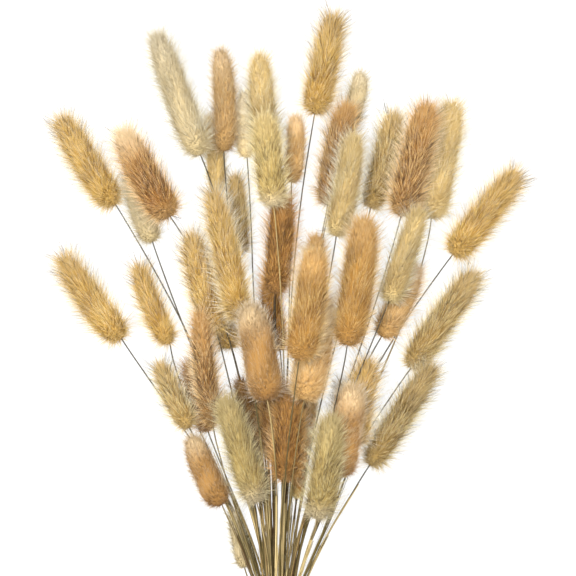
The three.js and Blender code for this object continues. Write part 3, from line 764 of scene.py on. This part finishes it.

# %% [markdown]
# Dried bunny tails are never one colour. In this bunch some are golden, some brown with lit strands,
# some cream, some olive at the heart, and the front ones are peach with pale crowns. Each kind of fur
# is named here once, so that a head only has to say its kind. length is that of a full hair in
# millimetres, ruffle how untidy the hairs lie, and strands how much neighbours differ in tone. awns
# counts the bristles, and a low splay sends them to the tip. solid and taper give the girth of the core,
# loose the share of long hairs. root, bleach_and_glow and crown say how dark hairs are at the root, in
# part painted shade, how pale at the end, in part painted light through thin hair, and how far the crown
# takes its colour, which is in part painted light.

# %% Kinds of fur
FUR_NUMBERS = ("length", "ruffle", "strands", "awns", "splay", "root", "bleach_and_glow", "taper", "crown", "solid",
               "loose")
FUR_TABLE = {  # seven colours in the order of FUR_COLOURS, then the numbers in that of FUR_NUMBERS
    "golden": ((146, 100, 32), (219, 177, 88), (246, 215, 134), (222, 188, 116), (212, 180, 112),
        (246, 242, 228), (112, 82, 40), 8.2, 7, 0.8, 100, 0.4, 0.66, 0.8, 0.3, 0.6, 0.71, 1.45),
    "honey": ((168, 132, 68), (214, 186, 124), (248, 234, 184), (236, 214, 156), (232, 204, 138),
        (250, 246, 230), (110, 88, 54), 7.1, 6, 0.4, 24, 1.2, 0.84, 0.75, 0.2, 0.8, 0.81, 0.9),
    "brown": ((88, 52, 18), (186, 134, 68), (250, 210, 140), (216, 176, 114), (214, 168, 100),
        (242, 224, 190), (78, 56, 34), 7.5, 8, 2.2, 70, 0.8, 0.54, 0.7, 0.2, 0.75, 0.74, 1.25),
    "hazy": ((100, 58, 18), (184, 128, 60), (242, 198, 124), (212, 174, 112), (236, 214, 172),
        (242, 224, 190), (74, 52, 30), 7.3, 8, 1.6, 90, 1.4, 0.48, 0.7, 0.25, 0.95, 0.75, 1.2),
    "chestnut": ((72, 42, 12), (156, 108, 50), (222, 170, 90), (186, 142, 84), (178, 132, 72),
        (216, 184, 138), (66, 48, 28), 7.0, 8, 1.8, 50, 0.8, 0.6, 0.6, 0.15, 0.6, 0.83, 1.2),
    "cream": ((188, 162, 110), (216, 197, 154), (248, 238, 206), (226, 204, 150), (230, 215, 182),
        (250, 243, 220), (128, 108, 72), 6.9, 6, 0.25, 14, 1.2, 0.88, 0.75, 0.15, 0.7, 0.84, 0.85),
    "flax": ((104, 78, 34), (206, 178, 106), (236, 216, 156), (234, 220, 190), (222, 200, 144),
        (238, 226, 184), (128, 106, 66), 6.7, 6, 1.6, 30, 1.2, 0.76, 0.7, 0.15, 0.6, 0.82, 0.95),
    "tan": ((152, 108, 56), (206, 168, 108), (244, 217, 166), (200, 160, 96), (230, 202, 158),
        (248, 236, 214), (104, 80, 52), 6.5, 6, 0.45, 12, 1.2, 0.8, 0.8, 0.15, 0.8, 0.83, 0.75),
    "amber": ((130, 86, 34), (190, 142, 68), (240, 204, 130), (204, 158, 90), (222, 180, 114),
        (244, 226, 188), (96, 70, 40), 6.7, 6, 0.8, 24, 1.2, 0.7, 0.75, 0.12, 0.8, 0.8, 0.95),
    "olive": ((118, 90, 34), (192, 158, 92), (240, 219, 156), (206, 176, 112), (212, 184, 126),
        (244, 238, 216), (84, 72, 46), 7.4, 7, 1.2, 80, 0.5, 0.66, 0.7, 0.2, 0.6, 0.73, 1.3),
    "peach": ((150, 106, 54), (190, 144, 80), (240, 208, 154), (158, 112, 56), (226, 200, 156),
        (248, 238, 220), (132, 100, 64), 5.2, 4, 0.35, 6, 1.2, 0.82, 0.8, 0.15, 0.9, 0.9, 0.4),
}
FUR = {kind: dict(zip(FUR_COLOURS + FUR_NUMBERS, row)) for kind, row in FUR_TABLE.items()}
STRAW = {  # three colours in the order of STRAW_COLOURS
    "grey": ((146, 122, 74), (60, 55, 40), (60, 46, 22)),
    "straw": ((206, 184, 130), (112, 98, 62), (96, 72, 36)),
    "olive": ((114, 98, 50), (84, 74, 42), (58, 44, 20)),
    # umber straw is partly the dark brown of dry culms and partly painted shade for the shadow deep between
    # the stems
    "umber": ((80, 56, 26), (80, 62, 36), (50, 34, 16)),
    "pale": ((194, 170, 116), (158, 138, 92), (108, 84, 46)),
}
SHEATHS = ("umber", "straw", "olive", "straw", "umber", "straw", "olive")
print(len(FUR), "kinds of fur and", len(STRAW), "kinds of straw")

# %% Each tail's fur, straw and lightness
# each lightness is partly the head's own and partly painted light and shade: heads lying low in the shade
# of others are made lighter, as the 45th is, and some lying in shade among the stems darker
TAILS = [text.split() for text in (  # in the order of the frame's nodes
    "golden grey 0.99", "hazy grey 1.04", "cream grey 0.9", "cream grey 0.91", "tan grey 0.94",
    "honey olive 1.0", "cream grey 1.05", "honey grey 0.98", "flax pale 1.02", "tan grey 1.05",
    "chestnut umber 1.08", "chestnut umber 1.16", "golden grey 0.99", "cream grey 0.97",
    "brown grey 0.98", "honey grey 0.93", "olive grey 1.05", "brown grey 1.02", "honey straw 1.0",
    "golden grey 1.01", "olive grey 1.02", "olive grey 0.95", "honey grey 0.93", "tan grey 1.03",
    "amber grey 0.98", "amber olive 0.99", "tan straw 1.05", "amber umber 0.97", "peach pale 0.9",
    "golden grey 0.99", "golden olive 0.98", "olive grey 1.04", "golden grey 0.99", "golden grey 1.02",
    "golden umber 0.98", "olive olive 1.04", "brown straw 0.98", "chestnut olive 0.98",
    "peach straw 0.89", "flax straw 0.91", "chestnut olive 0.77", "chestnut umber 0.96",
    "chestnut straw 1.07", "chestnut umber 0.95", "brown umber 1.34", "tan straw 1.14", "flax straw 0.9",
    "peach grey 0.96", "golden olive 1.03", "olive umber 0.92", "cream straw 0.88",
)]
FULLER = {  # heads whose fur is wider than the solid says
    4: 1.12, 5: 1.1, 8: 1.08, 10: 1.2, 14: 1.15, 19: 1.05, 24: 1.25, 28: 1.06, 30: 1.06,
}
print(len(TAILS), "tails")

# %% Materials


def principled(name, settings):
    """A new material and its main shader, with these of its sockets set."""
    material = bpy.data.materials.new(name)
    material.use_nodes = True
    shader = material.node_tree.nodes["Principled BSDF"]
    for label, value in settings.items():
        shader.inputs[label].default_value = value
    return material, shader


def grouped(name, group, sources, values, settings, relief=None):
    """A material with its colour and roughness from a group. sources names the attributes that feed the
    group, values sets its other sockets, and relief is the strength and depth of a bump."""
    material, shader = principled(name, settings)
    tree = material.node_tree
    for label, attribute in sources.items():
        output = "Vector" if attribute == "grain" else "Fac"
        values[label] = add(tree, "Attribute", {}, attribute_name=attribute).outputs[output]
    mixer = add(tree, "Group", values, node_tree=group).outputs
    tree.links.new(mixer["Colour"], shader.inputs["Base Color"])
    tree.links.new(mixer["Roughness"], shader.inputs["Roughness"])
    if relief:
        bump = add(tree, "Bump", {"Strength": relief[0], "Distance": relief[1], "Height": mixer["Relief"]})
        tree.links.new(bump.outputs["Normal"], shader.inputs["Normal"])
    return material


def fur_material(name, fur, lightness):
    sources = {"Along": "along", "Height": "height", "Tone": "tone"}
    values = {label: paint(*[value * lightness for value in fur[label]]) for label in FUR_COLOURS}
    values |= {"Root Shade": fur["root"], "Bleach And Glow": fur["bleach_and_glow"], "Crown Share": fur["crown"]}
    return grouped(name, fur_group, sources, values, {"Specular IOR Level": 0.15, "Sheen Weight": 0.06})


def straw_material(name, colours):
    sources = {"Length": "height", "Joint": "along", "Grain": "grain"}
    values = {label: paint(*colour) for label, colour in zip(STRAW_COLOURS, colours)}
    return grouped(name, straw_group, sources, values, {"Specular IOR Level": 0.22}, (0.4, 0.1 * MM))


straw_materials = {kind: straw_material("straw_" + kind, colours) for kind, colours in STRAW.items()}
print(list(straw_materials))

# %% [markdown]
# Now the tails are grown. The number of hairs follows the size of the head, so that all heads are
# equally dense. Each tail has its own seed, so the script gives the same bunch every time.

# %% Grow all tails
HAIRS_PER_SQUARE_MM = 1.74
FIRST_SEED = 700


def as_piece(name, made, materials):
    """The bundle as a Blender object, with its numbers as attributes and its paint map."""
    mesh = bpy.data.meshes.new(name)
    mesh.from_pydata(made["places"].tolist(), [], made["faces"].tolist())
    for material in materials:
        mesh.materials.append(material)
    mesh.polygons.foreach_set("material_index", made["finish"].astype(np.int32))
    mesh.polygons.foreach_set("use_smooth", np.ones(len(made["faces"]), bool))
    paint_map = mesh.uv_layers.new(name="OFBake")
    paint_map.data.foreach_set("uv", made["maps"].astype(np.float32).ravel())
    for key in ("height", "along", "tone"):
        values = mesh.attributes.new(key, "FLOAT", "POINT")
        values.data.foreach_set("value", made[key].astype(np.float32))
    grain = mesh.attributes.new("grain", "FLOAT_VECTOR", "POINT")
    grain.data.foreach_set("vector", made["grain"].astype(np.float32).ravel())
    mesh.update()
    piece = bpy.data.objects.new(name, mesh)
    bpy.context.scene.collection.objects.link(piece)
    return piece


def head_area(tail):
    """The head's surface in square millimetres, a little less than a cylinder's."""
    return 0.8 * math.tau * tail["radius"] * tail["length"] / MM**2


faces_made = 0
for number, (kind, straw_kind, lightness) in enumerate(TAILS, start=1):
    node = f"bunny_tail_{number:02d}"
    draw = np.random.default_rng(FIRST_SEED + number)
    tail, fur = read_tail(node), FUR[kind]
    tail["radius"] *= FULLER.get(number, 1.0)
    count = int(HAIRS_PER_SQUARE_MM * head_area(tail))
    hairs = comb(tail, fur, count, draw)
    strips = [make_strip(tail, draw) for _ in range(STRIPS_PER_STEM)]
    made = join([
        make_stem(tail, draw), *strips, make_core(tail, fur, draw),
        make_needles(*hairs, draw), make_awns(tail, fur, draw),
    ])
    sheath = straw_materials[SHEATHS[number % len(SHEATHS)]]
    dressing = fur_material(f"fur_{number:02d}", fur, float(lightness))
    finishes = [dressing, straw_materials[straw_kind], sheath]
    piece = as_piece(f"furry_tail_{number:02d}", made, finishes)
    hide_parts(node)
    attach(piece, "root")
    faces_made += len(made["faces"])
print("tails have", faces_made, "triangles in all")

# %% [markdown]
# A length of natural twine holds the stems. Real twine is three yarns twisted together, and the twist is
# what makes it read as twine, so each yarn is a tube of its own that winds round the cord's line. The
# cord goes five times round the stems, and its two ends meet on top in a flat knot. Loose fibres stand
# off it and the cut ends are frayed.

# %% The twine's measures and its line
TWINE_RADIUS = 1.15 * MM
TWINE_TURNS = 5
TWINE_PITCH = 2.2 * MM
TIE_OUTER_RADIUS = 10.82 * MM
TIE_FLAT = 0.45 * MM  # the tie is pressed flat by this much where it lies
YARNS = 3
YARN_RADIUS = 0.62 * MM
YARN_SIDES = 6
TWIST_PITCH = 6.5 * MM
TWINE_STEP = 0.62 * MM


def tie_middle():
    """The middle of the wound ring, read from the frame's own tie where it touches the surface."""
    corners = own_corners("twine_tie")
    low = corners[corners[:, 2] < 1 * MM]
    return np.array([*(low[:, :2].min(axis=0) + low[:, :2].max(axis=0)) / 2, TIE_OUTER_RADIUS - TIE_FLAT])


def even_line(points):
    """The same line with stations at even steps along it."""
    fine = smooth_line(points, 60 * len(points))
    length = distances(fine)[-1]
    steps = np.linspace(0, length, int(length / TWINE_STEP))
    return points_at(fine, steps), steps


middle = tie_middle()
print("the middle of the tie is at", (middle / MM).round(1), "mm")

# %% Three twisted yarns
FIBRE_TWIST = 5
YARNS_SPREAD, YARNS_THIN = 1.3, 0.35  # at a frayed end
YARN_COLUMN = 0.11  # each yarn's part of the paint map's width
TWINE_NOISE_SPAN = 30


def squared(vectors, axis):
    """The vectors without what they have along this axis, as directions."""
    return unit(vectors - (vectors * axis).sum(axis=1, keepdims=True) * axis)


def twisted(line, steps, middle, column, draw, frayed_from=None):
    """Three yarns round a cord's line. Past frayed_from they spread apart."""
    forward = unit(np.gradient(line, axis=0))
    right = squared(unit((line - middle) * [1, 0, 1]), forward)
    up = np.cross(right, forward)
    open_by = np.zeros(len(steps)) if frayed_from is None else ease(steps, frayed_from, steps[-1])
    yarns = []
    for yarn in range(YARNS):
        turn = math.tau * (steps / TWIST_PITCH * (1 - YARNS_THIN * open_by) + yarn / YARNS)
        aside = (TWINE_RADIUS - YARN_RADIUS) * (1 + YARNS_SPREAD * open_by)
        centre = line + aside[:, None] * swung(right, up, turn)
        keep_above(centre, YARN_RADIUS * 0.8)
        radii = YARN_RADIUS * (1 - YARNS_THIN * open_by)[:, None]
        radii = radii * draw.uniform(0.9, 1.1, (len(steps), YARN_SIDES))
        grain = fibre_grain(steps / MM, YARN_SIDES, steps / TWIST_PITCH * FIBRE_TWIST, 1.6, 0.15)
        left = column + (yarn + 0.08) * YARN_COLUMN
        facing = unit(np.gradient(centre, axis=0))
        yarn_right = squared(right, facing)
        yarns.append(ringed(
            centre, yarn_right, np.cross(yarn_right, facing), radii, (left, 0.01, left + 0.09, 0.99), 0,
            turn, open_by, 0.0, grain + draw.uniform(0, TWINE_NOISE_SPAN, 3),
        ))
    return yarns


# %% The winding and the knot
KNOT_LIFT = 1.4 * MM
BIGHT = [  # one bent end in the knot, from its free tip to the winding, in millimetres
    (-15.0, 10.0, -3.6), (-10.0, 6.5, -0.6), (-5.2, 2.6, 0.6), (-2.2, 1.15, 0.0), (0.6, 1.2, 0.9),
    (2.2, 0.7, 1.5), (2.5, 0.0, 1.6), (2.2, -0.7, 1.5), (0.6, -1.2, 0.9), (-2.2, -1.15, 0.0),
    (-4.6, -1.9, -0.9), (-7.2, -3.0, -3.2),
]
FRAY_LENGTH = 5 * MM
FIBRE_RADIUS = 0.05 * MM
FIBRE_COLUMN = 0.94


def winding(middle):
    """Turns round the stems, from the knot on top to the knot, flat where they lie on the surface."""
    turn = np.linspace(0.06, TWINE_TURNS - 0.06, 220)
    place = (turn / TWINE_TURNS - 0.5) * (TWINE_TURNS - 1) * TWINE_PITCH
    reach = TIE_OUTER_RADIUS - TWINE_RADIUS
    angle = math.tau * turn
    line = middle + np.stack([reach * np.sin(angle), place, reach * np.cos(angle)], axis=1)
    keep_above(line, TWINE_RADIUS)
    return even_line(line[::4])


def bent_end(middle, turned):
    """One end of the cord in the knot. The other end is the same, turned half round."""
    points = np.array(BIGHT) * MM
    if turned:
        points = points * [-1, -1, 1]
    return even_line(middle + [0, 0, TIE_OUTER_RADIUS + KNOT_LIFT] + points)


def fibres(line, count, length, spread, draw, from_share=0.0):
    """Loose fibres that stand off a cord, as fine closed needles. length is in millimetres."""
    spot = draw.uniform(from_share, 1, count) * (len(line) - 1)
    forward = unit(np.gradient(line, axis=0))[spot.astype(int)]
    out = swung(*across_of(forward), draw.uniform(0, math.tau, count))
    slant = draw.uniform(*spread, count)
    root = line[spot.astype(int)] + out * (TWINE_RADIUS * 0.6)
    way = swung(forward * draw.choice([-1, 1], count)[:, None], out, slant)
    tip = root + way * (draw.uniform(*length, count) * MM)[:, None]
    keep_above(tip, SURFACE_GAP)
    nought = np.zeros(count)
    made = make_needles(root, tip, nought, nought, nought + 1, nought + FIBRE_RADIUS, draw)
    made["maps"] = FIBRE_COLUMN + made["maps"] * [0.05, 0.9]
    made["grain"] = draw.uniform(0, TWINE_NOISE_SPAN, made["grain"].shape)
    return made


wound, wound_steps = winding(middle)
print("the winding takes", round(wound_steps[-1] / MM), "mm of twine")

# %% [markdown]
# Natural twine is spun from plant fibre: dark and pale fibres side by side, a stain here and there, and
# bleached where an end has come open. A noise read along the fibres gives that and a fine relief.

# %% The twine's material
TWINE_COLOURS = {"Deep": (112, 80, 42), "Fibre": (182, 146, 92), "Bleached": (222, 196, 148)}


def make_twine_group():
    inputs = {"Grain": "Vector", "Open": "Float"} | dict.fromkeys(TWINE_COLOURS, "Color")
    group, g, out = new_group("twisted_twine", inputs, RELIEF_OUTPUTS)
    strand = noise(group, g["Grain"], 2.2, 3.0)
    stain = noise(group, g["Grain"], 0.25, 1.0)
    colour = blend(group, remap(group, strand, 0.5, 0.28, 0.0, 0.9), g["Fibre"], g["Deep"])
    colour = blend(group, remap(group, strand, 0.5, 0.72, 0.0, 0.9), colour, g["Bleached"])
    colour = blend(group, remap(group, stain, 0.55, 0.8, 0.0, 0.35), colour, g["Deep"])
    colour = blend(group, remap(group, g["Open"], 0.0, 1.0, 0.0, 0.4), colour, g["Bleached"])
    put_out(group, out, colour, remap(group, strand, 0.3, 0.7, 0.95, 0.75), strand)
    return group


twine_material = grouped(
    "natural_twine", make_twine_group(), {"Grain": "grain", "Open": "along"},
    {label: paint(*colour) for label, colour in TWINE_COLOURS.items()}, {"Sheen Weight": 0.2},
    (0.6, 0.15 * MM),
)
print(twine_material.name, "is ready")

# %% Tie the bunch
draw = np.random.default_rng(12)
cord = twisted(wound, wound_steps, middle, 0.01, draw)
cord.append(fibres(wound, 420, (1.2, 3.2), (0.3, 1.0), draw))
for turned, column in ((False, 0.67), (True, 0.33)):
    end, steps = bent_end(middle, turned)
    end = end[::-1]
    cord += twisted(end, steps, middle, column, draw, steps[-1] - FRAY_LENGTH)
    cord.append(fibres(end, 110, (1.2, 3.0), (0.3, 1.0), draw))
    cord.append(fibres(end, 90, (1.5, 4.0), (0.1, 0.5), draw, from_share=0.93))
cord = join(cord)
tie = as_piece("twine_cord", cord, [twine_material])
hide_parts("twine_tie")
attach(tie, "root")
print("the tie has", len(cord["faces"]), "triangles")

# %% [markdown]
# The studio: a plain table that gives off light, so that it stays white, a bright even sky for soft
# light, and one large soft lamp from the upper left, so that the heads keep some form. The camera hangs
# straight above, far away and with a long lens, because the photograph shows hardly any perspective.

# %% Table, light and camera
PIXEL = 0.56 * MM
PHOTO_SIDE = 576
SENSOR = 36
VIEW_CENTRE = (-0.0004, 0.05418)
CAMERA_HEIGHT = 6.0
BUNCH_MIDDLE = 0.03
WHITE = (1.0, 1.0, 1.0, 1.0)

bpy.ops.mesh.primitive_plane_add(size=40)
table = bpy.context.object
table.name = "pale_table"
table_material, _ = principled("pale_table", {
    "Roughness": 0.9, "Base Color": (0.1, 0.1, 0.1, 1.0),
    "Emission Color": WHITE, "Emission Strength": 0.95,
})
table.data.materials.append(table_material)

glow = bpy.data.lights.new("key", "AREA")
glow.energy = 108
glow.size = 1.0
lamp = bpy.data.objects.new("key", glow)
lamp.location = (-0.35, 0.3, 2.5)
aim = Vector((0.0, 0.05, BUNCH_MIDDLE)) - lamp.location
lamp.rotation_euler = aim.to_track_quat("-Z", "Y").to_euler()

sky = bpy.data.worlds.new("studio")
sky.use_nodes = True
backdrop = sky.node_tree.nodes["Background"].inputs
backdrop["Color"].default_value = WHITE
backdrop["Strength"].default_value = 0.9
bpy.context.scene.world = sky
bpy.context.scene.view_settings.view_transform = "Standard"

lens = bpy.data.cameras.new("camera")
lens.sensor_width = SENSOR
lens.lens = SENSOR * (CAMERA_HEIGHT - BUNCH_MIDDLE) / (PHOTO_SIDE * PIXEL)
lens.clip_end = 100
camera = bpy.data.objects.new("camera", lens)
camera.location = (*VIEW_CENTRE, CAMERA_HEIGHT)
for thing in (lamp, camera):
    bpy.context.scene.collection.objects.link(thing)
bpy.context.scene.camera = camera
print("lens", round(lens.lens), "mm")
